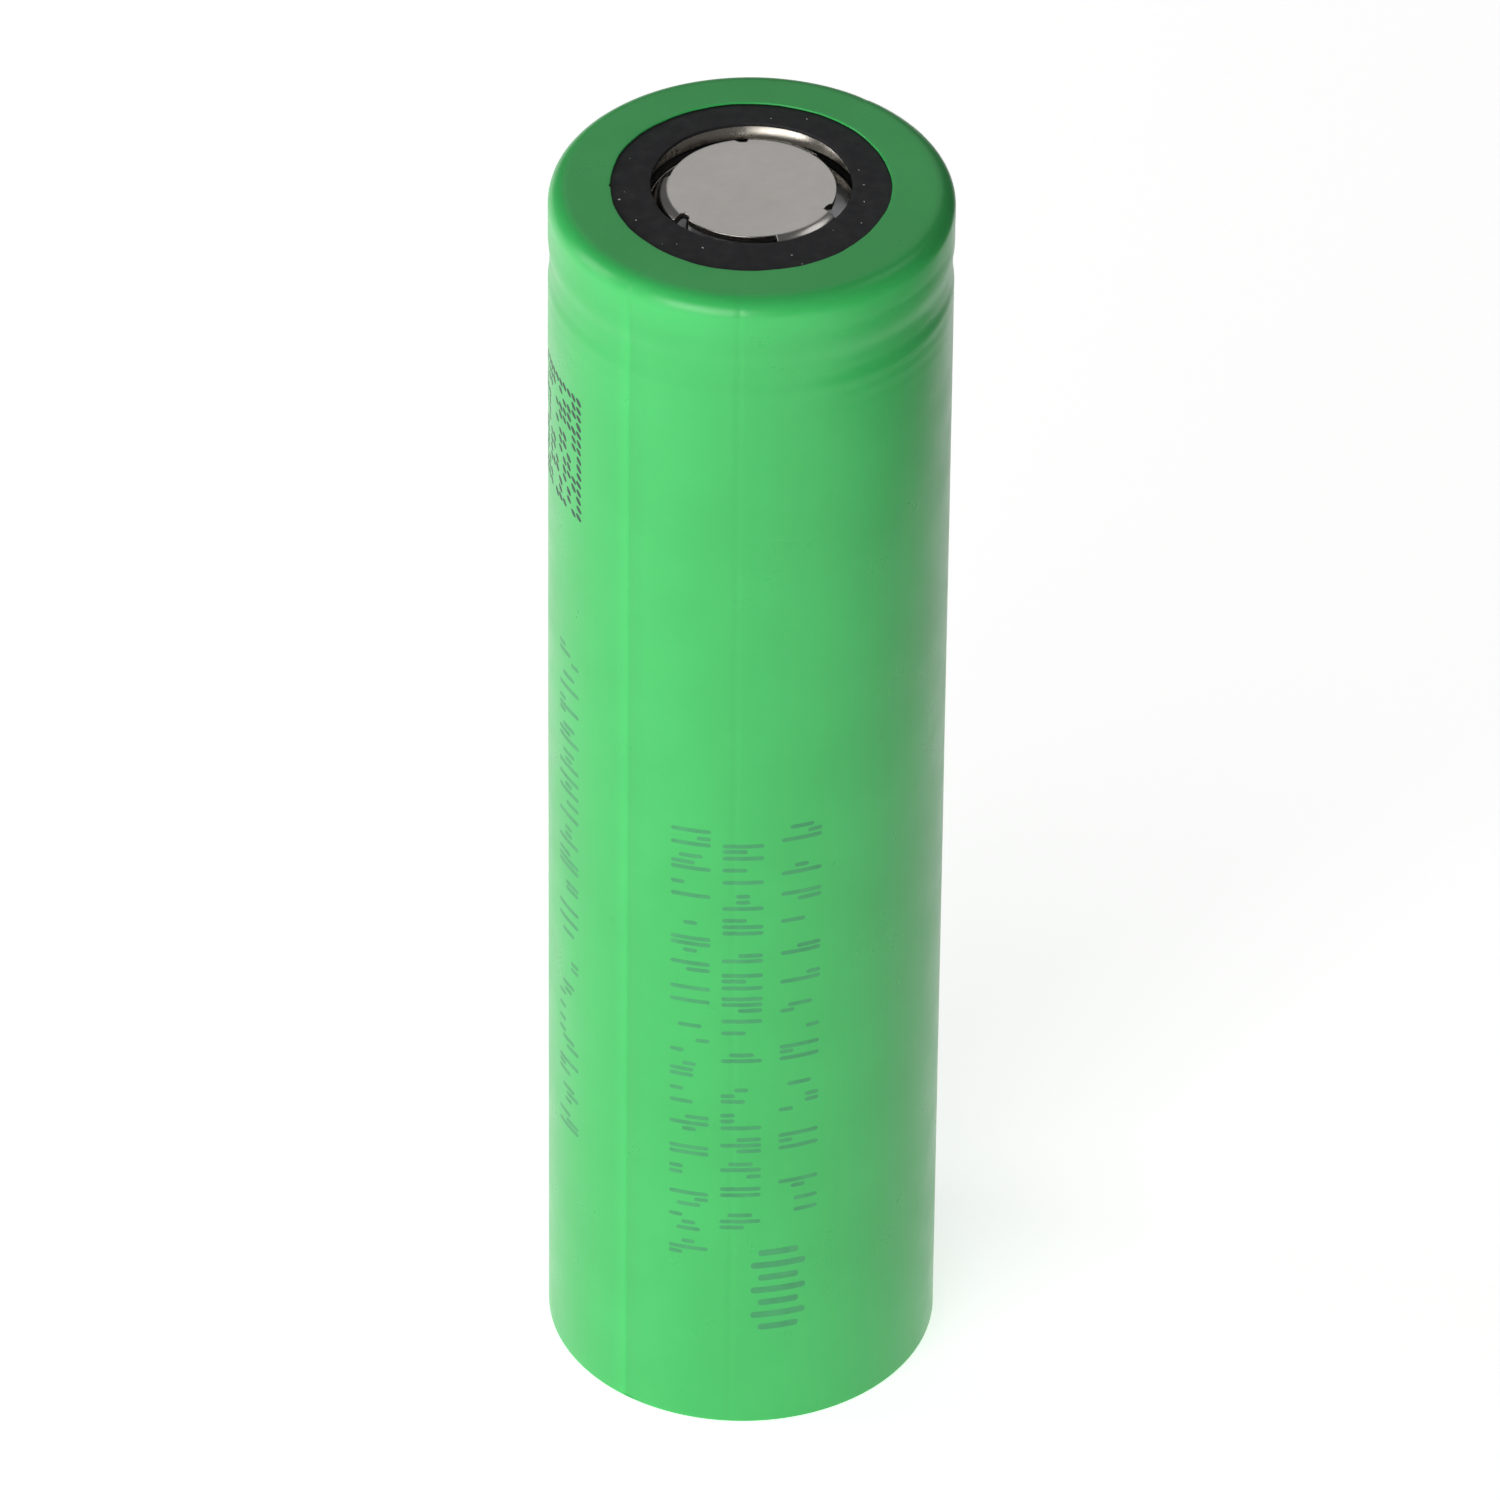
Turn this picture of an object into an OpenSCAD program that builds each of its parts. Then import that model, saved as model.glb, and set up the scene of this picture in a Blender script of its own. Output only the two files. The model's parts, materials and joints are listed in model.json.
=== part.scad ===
// Cylindrical rechargeable lithium-ion cell, common 18 x 65 size, in its shrink sleeve.
// Millimetres. The cell stands on its flat end: the origin is the centre of that end,
// +Z runs up the axis to the button end. Front is -Y.
// Read from the bottom up: can floor, wound electrodes, cap assembly, washer, sleeve.

/* [Overall] */
// Outside diameter of the sleeved cell
cell_diameter = 18.35; // [18.3:0.05:18.6]
// Height over both contacts
cell_height = 65; // [64.9:0.05:65.2]

/* [Shrink sleeve] */
// Film thickness of the shrink sleeve
sleeve_wall = 0.1; // [0.08:0.01:0.14]
// Radius of the sleeve's upper outside edge
shoulder_radius = 0.9; // [0.7:0.05:1.2]
// Radius of the opening the sleeve leaves at the button end
sleeve_top_opening = 6.4; // [5.8:0.1:7]
// Radius of the opening the sleeve leaves at the flat end
sleeve_foot_opening = 6.2; // [6.1:0.1:7]
// How far the film draws into the bead of the can
sleeve_dip = 0.08; // [0.03:0.01:0.12]

/* [Steel can] */
// Thickness of the can wall
can_wall = 0.2; // [0.16:0.01:0.26]
// Thickness of the can floor
can_floor = 0.3; // [0.25:0.05:0.4]
// Radius of the bare contact pad pressed out of the floor
pad_radius = 5.9; // [4:0.1:6]
// Height of the middle of the rolled bead above the flat end
bead_height = 61.15; // [61:0.05:61.2]
// Depth of the rolled bead
bead_depth = 1.2; // [0.9:0.05:1.3]
// Width of the rolled bead, outside
bead_width = 1; // [0.8:0.05:1]
// Inside radius of the crimped lip
lip_radius = 4.95; // [4.9:0.05:5.2]
// How far the lip's inner edge is turned down
lip_turn = 0.65; // [0.3:0.05:0.7]
// How far across the lip the turned-down edge reaches
lip_slope = 0.4; // [0.2:0.05:0.5]

/* [Top washer] */
// Inside radius of the washer under the sleeve
washer_hole_radius = 4.55; // [4.5:0.05:4.8]
// Thickness of the washer
washer_thickness = 0.17; // [0.12:0.01:0.17]
// How far the loose washer sits off centre, towards the back
washer_shift = 0.35; // [0:0.05:0.35]

/* [Terminal cap] */
// Radius of the flat positive contact
button_radius = 3.8; // [3:0.05:3.9]
// Sheet thickness of the terminal cap
cap_stock = 0.35; // [0.25:0.05:0.4]
// Height of the cap flange above the flat end
flange_height = 63.75; // [63.7:0.05:63.8]
// Width of each gas window, in degrees
window_angle = 74; // [50:1:85]

/* [Wound electrodes] */
// Radius at which the winding starts
roll_start_radius = 1.75; // [1.7:0.05:1.8]
// Whole turns in the winding
roll_turns = 18; // [10:1:18]
// Coated thickness of the positive electrode
positive_thickness = 0.13; // [0.08:0.01:0.13]
// Coated thickness of the negative electrode
negative_thickness = 0.12; // [0.08:0.01:0.12]
// Thickness of each separator film
separator_thickness = 0.03; // [0.016:0.002:0.03]
// Outside radius of the centre pin
pin_radius = 1.5; // [1.2:0.1:1.5]

/* [Hidden] */
$fn = 96;

gap = 0.03;                    // clearance left between neighbouring pieces
layer_gap = 0.015;             // clearance between the wound layers
over = 0.5;                    // how far a cutter runs past what it cuts

// sleeve and can
sleeve_radius = cell_diameter / 2;
sleeve_bore = sleeve_radius - sleeve_wall;
foot_radius = 0.15;            // outside radius of the sleeve's lower edge
can_radius = sleeve_bore - gap;
can_bore = can_radius - can_wall;
can_base = sleeve_wall + gap;  // underside of the can around the pad
floor_top = can_base + can_floor;
can_edge = 0.1;                // outside radius of the can's lower edge
top_inside = cell_height - sleeve_wall;
washer_top = top_inside - gap;
washer_base = washer_top - washer_thickness;
washer_room = 0.43;             // play round the washer, so that it can sit off centre
washer_outer = sleeve_radius - shoulder_radius - washer_room;
lip_top = washer_base - gap;
lip_base = lip_top - can_wall;
lip_root = lip_radius + 1.15 * can_wall;   // back of the turned-down edge
crimp_radius = shoulder_radius - sleeve_wall - gap;
bead_inner = can_radius - bead_depth + bead_width / 2;
bead_shelf = bead_height + bead_width / 2 + can_wall;
dip_radius = 4;                // radius of the sleeve's shallow draw into the bead

// cap assembly
button_top = cell_height - 0.07;
flange_base = flange_height - cap_stock;
flange_radius = 7.85;
wall_top_radius = button_radius + 0.42;
wall_foot_radius = 4.75;
vent_stock = 0.4;
vent_rim_top = flange_base - gap;
vent_rim_base = vent_rim_top - vent_stock;
vent_radius = 8.2;
vent_fold = 0.2;               // sheet turned over the edge of the flange
vent_fold_width = 0.9;
vent_fold_top = flange_height + gap + vent_fold;
vent_dish_radius = 5.1;
vent_boss_radius = 1.7;
vent_boss_base = 62;
vent_web = 0.22;               // sheet of the dished middle
plate_radius = 6.3;
plate_top = 61.85;
plate_stock = 0.4;
plate_base = plate_top - plate_stock;
cid_outer = 6.9;
gasket_outer = can_bore - gap;
gasket_bore = vent_radius + gap;
gasket_ledge_radius = 7;
gasket_foot = bead_shelf + gap;

// winding
pitch = positive_thickness + negative_thickness + 2 * separator_thickness + 4 * layer_gap;
steps = 24;                    // flats in each turn of the winding
off_inner_separator = 0;
off_positive = separator_thickness + layer_gap;
off_outer_separator = off_positive + positive_thickness + layer_gap;
off_negative = off_outer_separator + separator_thickness + layer_gap;
roll_base = 0.9;
roll_top = 58.75;
negative_inset = 0.5;          // the films stand past the negative electrode at each end
positive_inset = 1.2;
tab_stock = 0.1;
tab_width = 4;
tab_reach = 30;                // how far the negative tab runs up the winding
tab_first = 9;                 // flats of the winding the positive tab lies on
tab_last = 16;
tab_angle = (tab_first + tab_last) / 2 * 360 / steps;
lower_base = floor_top + gap;
lower_top = lower_base + 0.2;
upper_base = 58.95;
upper_top = upper_base + 0.3;
upper_eye = 3.3;               // radius of the hole in the upper insulator
lower_eye = 3;
disc_play = 0.3;               // play between an insulator disc and the can

function polar(r, a) = [r * cos(a), r * sin(a)];
function wound(offset, k) = roll_start_radius + offset + pitch * k / steps;

tab_stand = wound(off_positive, (tab_first + tab_last) / 2);

// ---- shapes used more than once -----------------------------------------

module ring(inner, outer, low, high) {
    difference() {
        translate([0, 0, low]) cylinder(h = high - low, r = outer);
        translate([0, 0, low - over]) cylinder(h = high - low + 2 * over, r = inner);
    }
}

// one strip of the winding, from flat k0 to flat k1
module wound_strip(offset, thick, k0, k1, low, high) {
    translate([0, 0, low]) linear_extrude(high - low) polygon(concat(
        [for (k = [k0:k1]) polar(wound(offset, k), k * 360 / steps)],
        [for (k = [k1:-1:k0]) polar(wound(offset, k) + thick, k * 360 / steps)]));
}

// half section of a closed drum with a rounded upper edge and a rounded lower edge
module drum_section(r, low, high, low_edge, high_edge) {
    translate([0, low + low_edge]) square([r, high - high_edge - low - low_edge]);
    translate([0, low]) square([r - low_edge, 2 * low_edge]);
    translate([0, high - 2 * high_edge]) square([r - high_edge, 2 * high_edge]);
    translate([r - high_edge, high - high_edge]) circle(high_edge);
    translate([r - low_edge, low + low_edge]) circle(low_edge);
}

// ---- outside ----------------------------------------------------------------

module sleeve_outline(r, low, high, low_edge, high_edge) {
    difference() {
        drum_section(r, low, high, low_edge, high_edge);
        translate([r - sleeve_dip + dip_radius, bead_height]) circle(dip_radius);
    }
}

module sleeve() {
    color([0.24, 0.62, 0.36]) rotate_extrude() difference() {
        sleeve_outline(sleeve_radius, 0, cell_height, foot_radius, shoulder_radius);
        sleeve_outline(sleeve_bore, sleeve_wall, top_inside, foot_radius - sleeve_wall,
                       shoulder_radius - sleeve_wall);
        translate([-over, -over]) square([sleeve_foot_opening + over, 2 * over]);
        translate([-over, top_inside - over]) square([sleeve_top_opening + over, 2 * over]);
    }
}

module insulator_washer() {
    color([0.12, 0.12, 0.13]) translate([0, washer_shift, 0])
        ring(washer_hole_radius, washer_outer, washer_base, washer_top);
}

// the can: floor with a pressed-out pad, straight wall, rolled bead, crimped lip
module can_outer_section() {
    difference() {
        drum_section(can_radius, can_base, lip_top, can_edge, crimp_radius);
        translate([bead_inner, bead_height - bead_width / 2])
            square([can_radius, bead_width]);
        translate([bead_inner, bead_height]) circle(bead_width / 2);
        polygon([[0, lip_top - lip_turn], [lip_radius, lip_top - lip_turn],
                 [lip_radius + lip_slope, lip_top], [lip_radius + lip_slope, lip_top + over],
                 [0, lip_top + over]]);
    }
    square([pad_radius, can_base + can_floor / 2]);
}

module can_inner_section() {
    reach = bead_width / 2 + can_wall;
    difference() {
        drum_section(can_bore, floor_top, lip_base, can_edge, crimp_radius - can_wall);
        translate([bead_inner, bead_height - reach]) square([can_radius, 2 * reach]);
        translate([bead_inner, bead_height]) circle(reach);
        polygon([[0, lip_top - lip_turn], [lip_root, lip_top - lip_turn],
                 [lip_root + lip_slope, lip_top], [0, lip_top]]);
    }
}

module can() {
    color([0.72, 0.72, 0.70]) rotate_extrude() difference() {
        can_outer_section();
        can_inner_section();
    }
}

// ---- cap assembly -------------------------------------------------------------

module cap_section() {
    polygon([
        [0, button_top], [button_radius - 0.1, button_top], [button_radius, button_top - 0.05],
        [wall_top_radius, button_top - 0.28], [wall_foot_radius, flange_height + 0.12],
        [wall_foot_radius + 0.14, flange_height], [flange_radius, flange_height],
        [flange_radius, flange_base], [wall_foot_radius - 0.15, flange_base],
        [wall_foot_radius - cap_stock, flange_base + 0.2],
        [wall_top_radius - cap_stock, button_top - 0.28 - cap_stock / 2],
        [button_radius - 0.2, button_top - cap_stock], [0, button_top - cap_stock]
    ]);
}

// clears one gas window and the relief nick where its edge meets the button
module gas_window() {
    nick = 0.28;
    nick_angle = 4;
    sill = flange_height + 0.04;       // bottom edge of the window
    depth = 2;
    under = 0.45;                      // how far the window runs in below the button
    rotate_extrude(angle = window_angle) {
        translate([button_radius, sill]) square([depth, cell_height]);
        translate([button_radius - under, sill])
            square([depth, button_top - cap_stock - 0.01 - sill]);
    }
    rotate([0, 0, nick_angle]) translate([button_radius + 0.05, 0, sill])
        cylinder(h = cell_height, r = nick, $fn = 32);
}

module terminal_cap() {
    first_window = -27;
    windows = 3;
    color([0.70, 0.69, 0.66]) difference() {
        rotate_extrude() cap_section();
        for (i = [0:windows - 1]) rotate([0, 0, first_window + i * 360 / windows]) gas_window();
    }
}

module gasket() {
    tongue_radius = lip_radius - 0.08;   // the end that shows below the can's lip
    tongue_top = lip_top - lip_turn - gap;
    lip_back = lip_root + 1.2 * gap;
    fold_room = vent_radius - vent_fold_width - gap;
    color([0.16, 0.16, 0.17]) {
        rotate_extrude() difference() {
            drum_section(gasket_outer, gasket_foot, lip_base - gap, 0.1,
                         crimp_radius - can_wall - gap);
            translate([-over, vent_rim_base - gap])
                square([gasket_bore + over, flange_height - vent_rim_base + 2 * gap]);
            translate([fold_room, flange_height])
                square([gasket_bore - fold_room, vent_fold_top + gap - flange_height]);
            translate([-over, 0]) square([gasket_ledge_radius + over, flange_height]);
            translate([-over, 0]) square([tongue_radius + over, cell_height]);
            polygon([[-over, tongue_top], [lip_back, tongue_top],
                     [lip_back + lip_slope, lip_top], [-over, lip_top]]);
        }
    }
}

// vent disc: rim clinched round the cap flange, dished middle with a score ring
module vent_disc() {
    score = 0.1;
    color([0.80, 0.81, 0.83]) rotate_extrude() difference() {
        polygon([
            [0, vent_boss_base], [vent_boss_radius, vent_boss_base],
            [vent_dish_radius - 0.7, vent_rim_base - 0.12], [vent_dish_radius, vent_rim_base],
            [vent_radius, vent_rim_base], [vent_radius, vent_fold_top],
            [vent_radius - vent_fold_width, vent_fold_top],
            [vent_radius - vent_fold_width, flange_height + gap],
            [flange_radius + gap, flange_height + gap],
            [flange_radius + gap, vent_rim_top], [vent_dish_radius, vent_rim_top],
            [vent_dish_radius - 0.6, vent_rim_base + vent_web - 0.12],
            [vent_boss_radius + 0.05, vent_boss_base + vent_web + 0.08],
            [0, vent_boss_base + vent_web + 0.08]
        ]);
        translate([2.9, vent_boss_base + 0.68]) circle(score, $fn = 24);
    }
}

module cid_insulator() {
    seat = plate_radius + gap;
    ledge = 0.25;                      // thickness of the rim that carries the plate
    ledge_reach = 0.4;
    color([0.90, 0.88, 0.82]) rotate_extrude() difference() {
        translate([0, plate_base - gap - ledge])
            square([cid_outer, vent_rim_base - plate_base + ledge]);
        translate([-over, 0]) square([plate_radius - ledge_reach + over, plate_top]);
        translate([-over, plate_base - gap]) square([seat + over, plate_stock + 2 * gap]);
        translate([-over, 0]) square([vent_dish_radius + 0.1 + over, cell_height]);
    }
}

module cid_plate() {
    vents = 6;
    vent_hole = 0.75;
    vent_circle = 4;                   // radius of the circle the holes stand on
    color([0.76, 0.77, 0.80]) difference() {
        translate([0, 0, plate_base]) cylinder(h = plate_stock, r = plate_radius);
        for (i = [0:vents - 1]) rotate([0, 0, i * 360 / vents])
            translate([vent_circle, 0, plate_base - over])
                cylinder(h = 2 * over, r = vent_hole, $fn = 32);
        ring(0.85, 1.15, plate_top - 0.12, plate_top + over);
    }
}

// the weld that breaks when the vent disc snaps up, 0.4 mm along +Z
module weld_nugget() {
    weld_radius = 0.5;
    color([0.62, 0.63, 0.66]) translate([0, 0, plate_top + gap / 2])
        cylinder(h = vent_boss_base - plate_top - gap, r = weld_radius);
}

// ---- tabs and insulators --------------------------------------------------------

// strip welded inside the winding, risen through the upper insulator, folded under the plate
module positive_tab() {
    weld_top = plate_base - gap;
    strip_base = 4;
    color([0.78, 0.79, 0.81]) {
        wound_strip(off_positive, tab_stock, tab_first, tab_last, strip_base,
                    upper_base + 0.1);
        rotate([0, 0, tab_angle]) {
            translate([tab_stand, -tab_width / 2, upper_base - 0.1])
                cube([tab_stock, tab_width, weld_top - upper_base + 0.1]);
            translate([-tab_stand + 0.3, -tab_width / 2, weld_top - tab_stock])
                cube([2 * tab_stand - 0.3 + tab_stock, tab_width, tab_stock]);
        }
    }
}

// band of film round the risen part of the tab
module tab_tape() {
    film = 0.06;
    band = 1.4;
    color([0.80, 0.55, 0.20]) rotate([0, 0, tab_angle]) difference() {
        translate([tab_stand - gap - film, -tab_width / 2 - gap - film, upper_top + 0.1])
            cube([tab_stock + 2 * (gap + film), tab_width + 2 * (gap + film), band]);
        translate([tab_stand - gap, -tab_width / 2 - gap, upper_base])
            cube([tab_stock + 2 * gap, tab_width + 2 * gap, 2 * band]);
    }
}

module upper_insulator() {
    holes = 4;
    hole_radius = 0.8;
    hole_circle = 5.9;                 // radius of the circle the holes stand on
    color([0.88, 0.90, 0.86]) difference() {
        ring(upper_eye, can_bore - disc_play, upper_base, upper_top);
        for (i = [0:holes - 1]) rotate([0, 0, 45 + i * 360 / holes])
            translate([hole_circle, 0, upper_base - over])
                cylinder(h = 2 * over, r = hole_radius, $fn = 32);
    }
}

module lower_insulator() {
    color([0.88, 0.90, 0.86]) ring(lower_eye, can_bore - disc_play, lower_base, lower_top);
}

// rolled steel pin that keeps the middle of the winding open for gas
module centre_pin() {
    wall = 0.2;
    slit = 0.3;
    chamfer = 0.1;
    taper = 0.95;
    low = roll_base + 0.05;
    high = roll_top - 0.05;
    color([0.66, 0.66, 0.66]) difference() {
        rotate_extrude() polygon([
            [pin_radius - wall, low], [pin_radius - chamfer, low],
            [pin_radius, low + taper], [pin_radius, high - taper],
            [pin_radius - chamfer, high], [pin_radius - wall, high]
        ]);
        translate([0, -slit / 2, 0]) cube([2 * pin_radius, slit, cell_height]);
    }
}

// strip welded past the end of the negative electrode, folded in under the winding
module negative_tab() {
    first = (roll_turns - 1) * steps + 17;
    last = first + 2;
    mid = (first + last) / 2 * 360 / steps;
    run_base = lower_top + gap;
    weld_length = 4;
    color([0.74, 0.72, 0.66]) {
        wound_strip(off_negative, tab_stock, first, last, run_base, tab_reach);
        rotate([0, 0, mid]) {
            translate([-weld_length / 2, -tab_width / 2, run_base])
                cube([wound(off_negative, first + 1) + weld_length / 2 - 0.05, tab_width,
                      tab_stock]);
            translate([-weld_length / 2, -tab_width / 2, lower_base])
                cube([weld_length, tab_width, run_base + tab_stock - lower_base]);
        }
    }
}

// ---- winding ------------------------------------------------------------------

module inner_separator() {
    color([0.93, 0.93, 0.91])
        wound_strip(off_inner_separator, separator_thickness, 2, roll_turns * steps,
                    roll_base, roll_top);
}

module positive_electrode() {
    color([0.22, 0.22, 0.24])
        wound_strip(off_positive, positive_thickness, tab_last + 1, (roll_turns - 1) * steps,
                    roll_base + positive_inset, roll_top - positive_inset);
}

module outer_separator() {
    color([0.90, 0.91, 0.93])
        wound_strip(off_outer_separator, separator_thickness, 2, roll_turns * steps,
                    roll_base, roll_top);
}

module negative_electrode() {
    color([0.45, 0.30, 0.22])
        wound_strip(off_negative, negative_thickness, 6, (roll_turns - 1) * steps + 16,
                    roll_base + negative_inset, roll_top - negative_inset);
}

// tape that holds down the outer end of the winding
module roll_tape() {
    film = 0.04;
    color([0.35, 0.60, 0.72])
        wound_strip(off_negative + negative_thickness - film - layer_gap, film,
                    (roll_turns - 1) * steps + 20, roll_turns * steps,
                    roll_base + 2, roll_top - 2);
}

sleeve();
insulator_washer();
can();
terminal_cap();
gasket();
vent_disc();
cid_insulator();
cid_plate();
weld_nugget();
positive_tab();
tab_tape();
upper_insulator();
centre_pin();
positive_electrode();
negative_electrode();
inner_separator();
outer_separator();
roll_tape();
negative_tab();
lower_insulator();
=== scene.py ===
import json
import math
import random

import bmesh
import bpy
from mathutils import Matrix, Vector


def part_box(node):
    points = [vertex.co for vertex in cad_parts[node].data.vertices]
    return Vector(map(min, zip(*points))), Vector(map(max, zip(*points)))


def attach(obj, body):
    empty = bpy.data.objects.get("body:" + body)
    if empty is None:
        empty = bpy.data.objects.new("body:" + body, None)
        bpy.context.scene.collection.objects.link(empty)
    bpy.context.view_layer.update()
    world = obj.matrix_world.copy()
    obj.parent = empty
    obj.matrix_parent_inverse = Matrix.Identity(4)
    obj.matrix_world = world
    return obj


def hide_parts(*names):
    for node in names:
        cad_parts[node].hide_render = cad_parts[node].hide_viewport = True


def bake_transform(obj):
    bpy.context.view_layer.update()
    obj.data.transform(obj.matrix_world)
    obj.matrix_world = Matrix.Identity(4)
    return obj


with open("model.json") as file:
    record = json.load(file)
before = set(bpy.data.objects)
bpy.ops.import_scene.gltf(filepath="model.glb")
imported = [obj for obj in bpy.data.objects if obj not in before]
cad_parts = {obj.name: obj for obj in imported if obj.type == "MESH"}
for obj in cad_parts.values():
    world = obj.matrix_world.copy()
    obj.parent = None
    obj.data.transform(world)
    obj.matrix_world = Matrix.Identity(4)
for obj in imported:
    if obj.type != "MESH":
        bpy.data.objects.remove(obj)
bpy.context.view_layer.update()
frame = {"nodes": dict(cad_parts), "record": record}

MM = 0.001
TAU = 2 * math.pi
rng = random.Random(1865)

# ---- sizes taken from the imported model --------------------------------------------

SLEEVE_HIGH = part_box("sleeve")[1]
WASHER_LOW, WASHER_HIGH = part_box("insulator_washer")
CAP_LOW, CAP_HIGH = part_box("terminal_cap")
CAN_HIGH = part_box("can")[1]
VENT_LOW, VENT_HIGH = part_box("vent_disc")

HEIGHT = SLEEVE_HIGH[2] / MM
SLEEVE_R = SLEEVE_HIGH[0] / MM
FILM = 0.1                                 # thickness of the sleeve film, mm
TOP_OPENING = 6.4
FOOT_OPENING = 6.2
SHOULDER = 0.9
BEAD_Z = HEIGHT - 3.85                     # middle of the can's rolled bead
BEAD_DRAW = 0.078                          # how far the film draws into the bead
CAP_TOP = CAP_HIGH[2] / MM
CAP_BASE = CAP_LOW[2] / MM
FLANGE_R = CAP_HIGH[0] / MM
CAN_R = CAN_HIGH[0] / MM
CAN_TOP = CAN_HIGH[2] / MM


# ---- camera, as the photograph was taken ------------------------------------------

CAM_ELEVATION = math.radians(37.69)
CAM_DISTANCE = 0.6275
CAM_TARGET = Vector((0.00017, 0, 0.03305))
CAM_ROLL = math.radians(0.585)

away = Vector((0, -math.cos(CAM_ELEVATION), math.sin(CAM_ELEVATION)))
side = Vector((1, 0, 0))
upward = away.cross(side)
cam_x = math.cos(CAM_ROLL) * side + math.sin(CAM_ROLL) * upward
cam_y = -math.sin(CAM_ROLL) * side + math.cos(CAM_ROLL) * upward
camera_data = bpy.data.cameras.new("camera")
camera_data.lens = 325.4
camera_data.sensor_width = 36
camera_data.clip_start = 0.01
camera_data.clip_end = 20
camera = bpy.data.objects.new("camera", camera_data)
bpy.context.scene.collection.objects.link(camera)
turn = Matrix((cam_x, cam_y, away)).transposed().to_4x4()
camera.matrix_world = Matrix.Translation(CAM_TARGET + CAM_DISTANCE * away) @ turn
bpy.context.scene.camera = camera


# ---- materials --------------------------------------------------------------------

FOLD_LINES = (-126, 54)         # the two lay-flat folds of the tube the sleeve was cut from


class Surface:
    """A node material with the few helpers that the surfaces here share."""

    def __init__(self, name, roughness=0.5, metallic=0.0):
        self.material = bpy.data.materials.new(name)
        self.material.use_nodes = True
        self.nodes = self.material.node_tree.nodes
        self.links = self.material.node_tree.links
        self.shader = self.nodes["Principled BSDF"]
        self.shader.inputs["Metallic"].default_value = metallic
        self.shader.inputs["Roughness"].default_value = roughness
        self.coords = self.nodes.new("ShaderNodeTexCoord").outputs["Object"]

    def set(self, **values):
        for key, value in values.items():
            self.shader.inputs[key.replace("_", " ")].default_value = value

    def stretched(self, scale):
        """Object coordinates multiplied by scale, one factor for each axis."""
        mapping = self.nodes.new("ShaderNodeMapping")
        mapping.inputs["Scale"].default_value = scale
        self.links.new(self.coords, mapping.inputs["Vector"])
        return mapping.outputs["Vector"]

    def noise(self, scale, detail=3.0, vector=None, roughness=0.5):
        node = self.nodes.new("ShaderNodeTexNoise")
        node.inputs["Scale"].default_value = scale
        node.inputs["Detail"].default_value = detail
        node.inputs["Roughness"].default_value = roughness
        self.links.new(vector or self.coords, node.inputs["Vector"])
        return node.outputs["Fac"]

    def ramp(self, value, stops, socket):
        """Colours or greys by value, linked to one of the shader's sockets."""
        node = self.nodes.new("ShaderNodeValToRGB")
        ends = node.color_ramp.elements
        while len(ends) < len(stops):
            ends.new(0.5)
        for end, (place, colour) in zip(ends, stops):
            end.position = place
            end.color = (*colour, 1) if isinstance(colour, tuple) else (colour, colour, colour, 1)
        self.links.new(value, node.inputs["Fac"])
        if socket:
            self.links.new(node.outputs["Color"], self.shader.inputs[socket])
        return node.outputs["Color"]

    def fold_painted_shade(self, colour):
        """Painted shade and highlight in the film's colour beside its lay-flat folds: a little
        darker on one side of each fold, paler on the other, standing in for the crease's shading.
        """
        turned = self.nodes.new("ShaderNodeMapping")
        turned.inputs["Rotation"].default_value = (0, 0, math.radians(-FOLD_LINES[1]))
        self.links.new(self.coords, turned.inputs["Vector"])
        parts = self.nodes.new("ShaderNodeSeparateXYZ")
        self.links.new(turned.outputs["Vector"], parts.inputs["Vector"])
        place = self.nodes.new("ShaderNodeMath")
        place.operation = "MULTIPLY_ADD"
        place.inputs[1].default_value = 250       # the ramp spans 4 mm across the fold
        place.inputs[2].default_value = 0.5
        self.links.new(parts.outputs["Y"], place.inputs[0])
        # painted shade just to one side of each fold, a painted highlight just to the other
        painted_fold_shade = self.ramp(place.outputs["Value"], [
            (0.26, 0.90), (0.47, 0.85), (0.50, 0.88), (0.52, 1.0), (0.60, 0.96), (0.70, 0.90)],
            None)
        mix = self.nodes.new("ShaderNodeMix")
        mix.data_type = "RGBA"
        mix.blend_type = "MULTIPLY"
        side_only = self.nodes.new("ShaderNodeMapRange")
        side_only.inputs["From Min"].default_value = 0.0641     # none above this height
        side_only.inputs["From Max"].default_value = 0.0625
        self.links.new(parts.outputs["Z"], side_only.inputs["Value"])
        self.links.new(side_only.outputs["Result"], mix.inputs["Factor"])
        self.links.new(colour, mix.inputs[6])
        self.links.new(painted_fold_shade, mix.inputs[7])
        self.links.new(mix.outputs[2], self.shader.inputs["Base Color"])

    def bump(self, height, distance, strength=1.0, under=None):
        node = self.nodes.new("ShaderNodeBump")
        node.inputs["Distance"].default_value = distance
        node.inputs["Strength"].default_value = strength
        self.links.new(height, node.inputs["Height"])
        if under is not None:
            self.links.new(under, node.inputs["Normal"])
        self.links.new(node.outputs["Normal"], self.shader.inputs["Normal"])
        return node.outputs["Normal"]


def sleeve_film():
    s = Surface("sleeve_film", 0.30)
    film = s.ramp(s.noise(160, 4), [(0.30, (0.047, 0.520, 0.117)), (0.70, (0.055, 0.570, 0.134))],
                  None)
    # paints the folds' shade and highlight into the film's colour
    s.fold_painted_shade(film)
    s.ramp(s.noise(420, 4), [(0.3, 0.27), (0.7, 0.35)], "Roughness")
    draw_lines = s.bump(s.noise(1.0, 3, s.stretched((900, 900, 22))), 0.000012, 0.35)
    s.bump(s.noise(1500, 3), 0.000004, 0.3, draw_lines)
    s.set(IOR=1.45, Specular_IOR_Level=0.52, Subsurface_Weight=0.10, Subsurface_Scale=0.0006)
    s.shader.inputs["Subsurface Radius"].default_value = (0.3, 1.0, 0.4)
    return s.material


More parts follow.
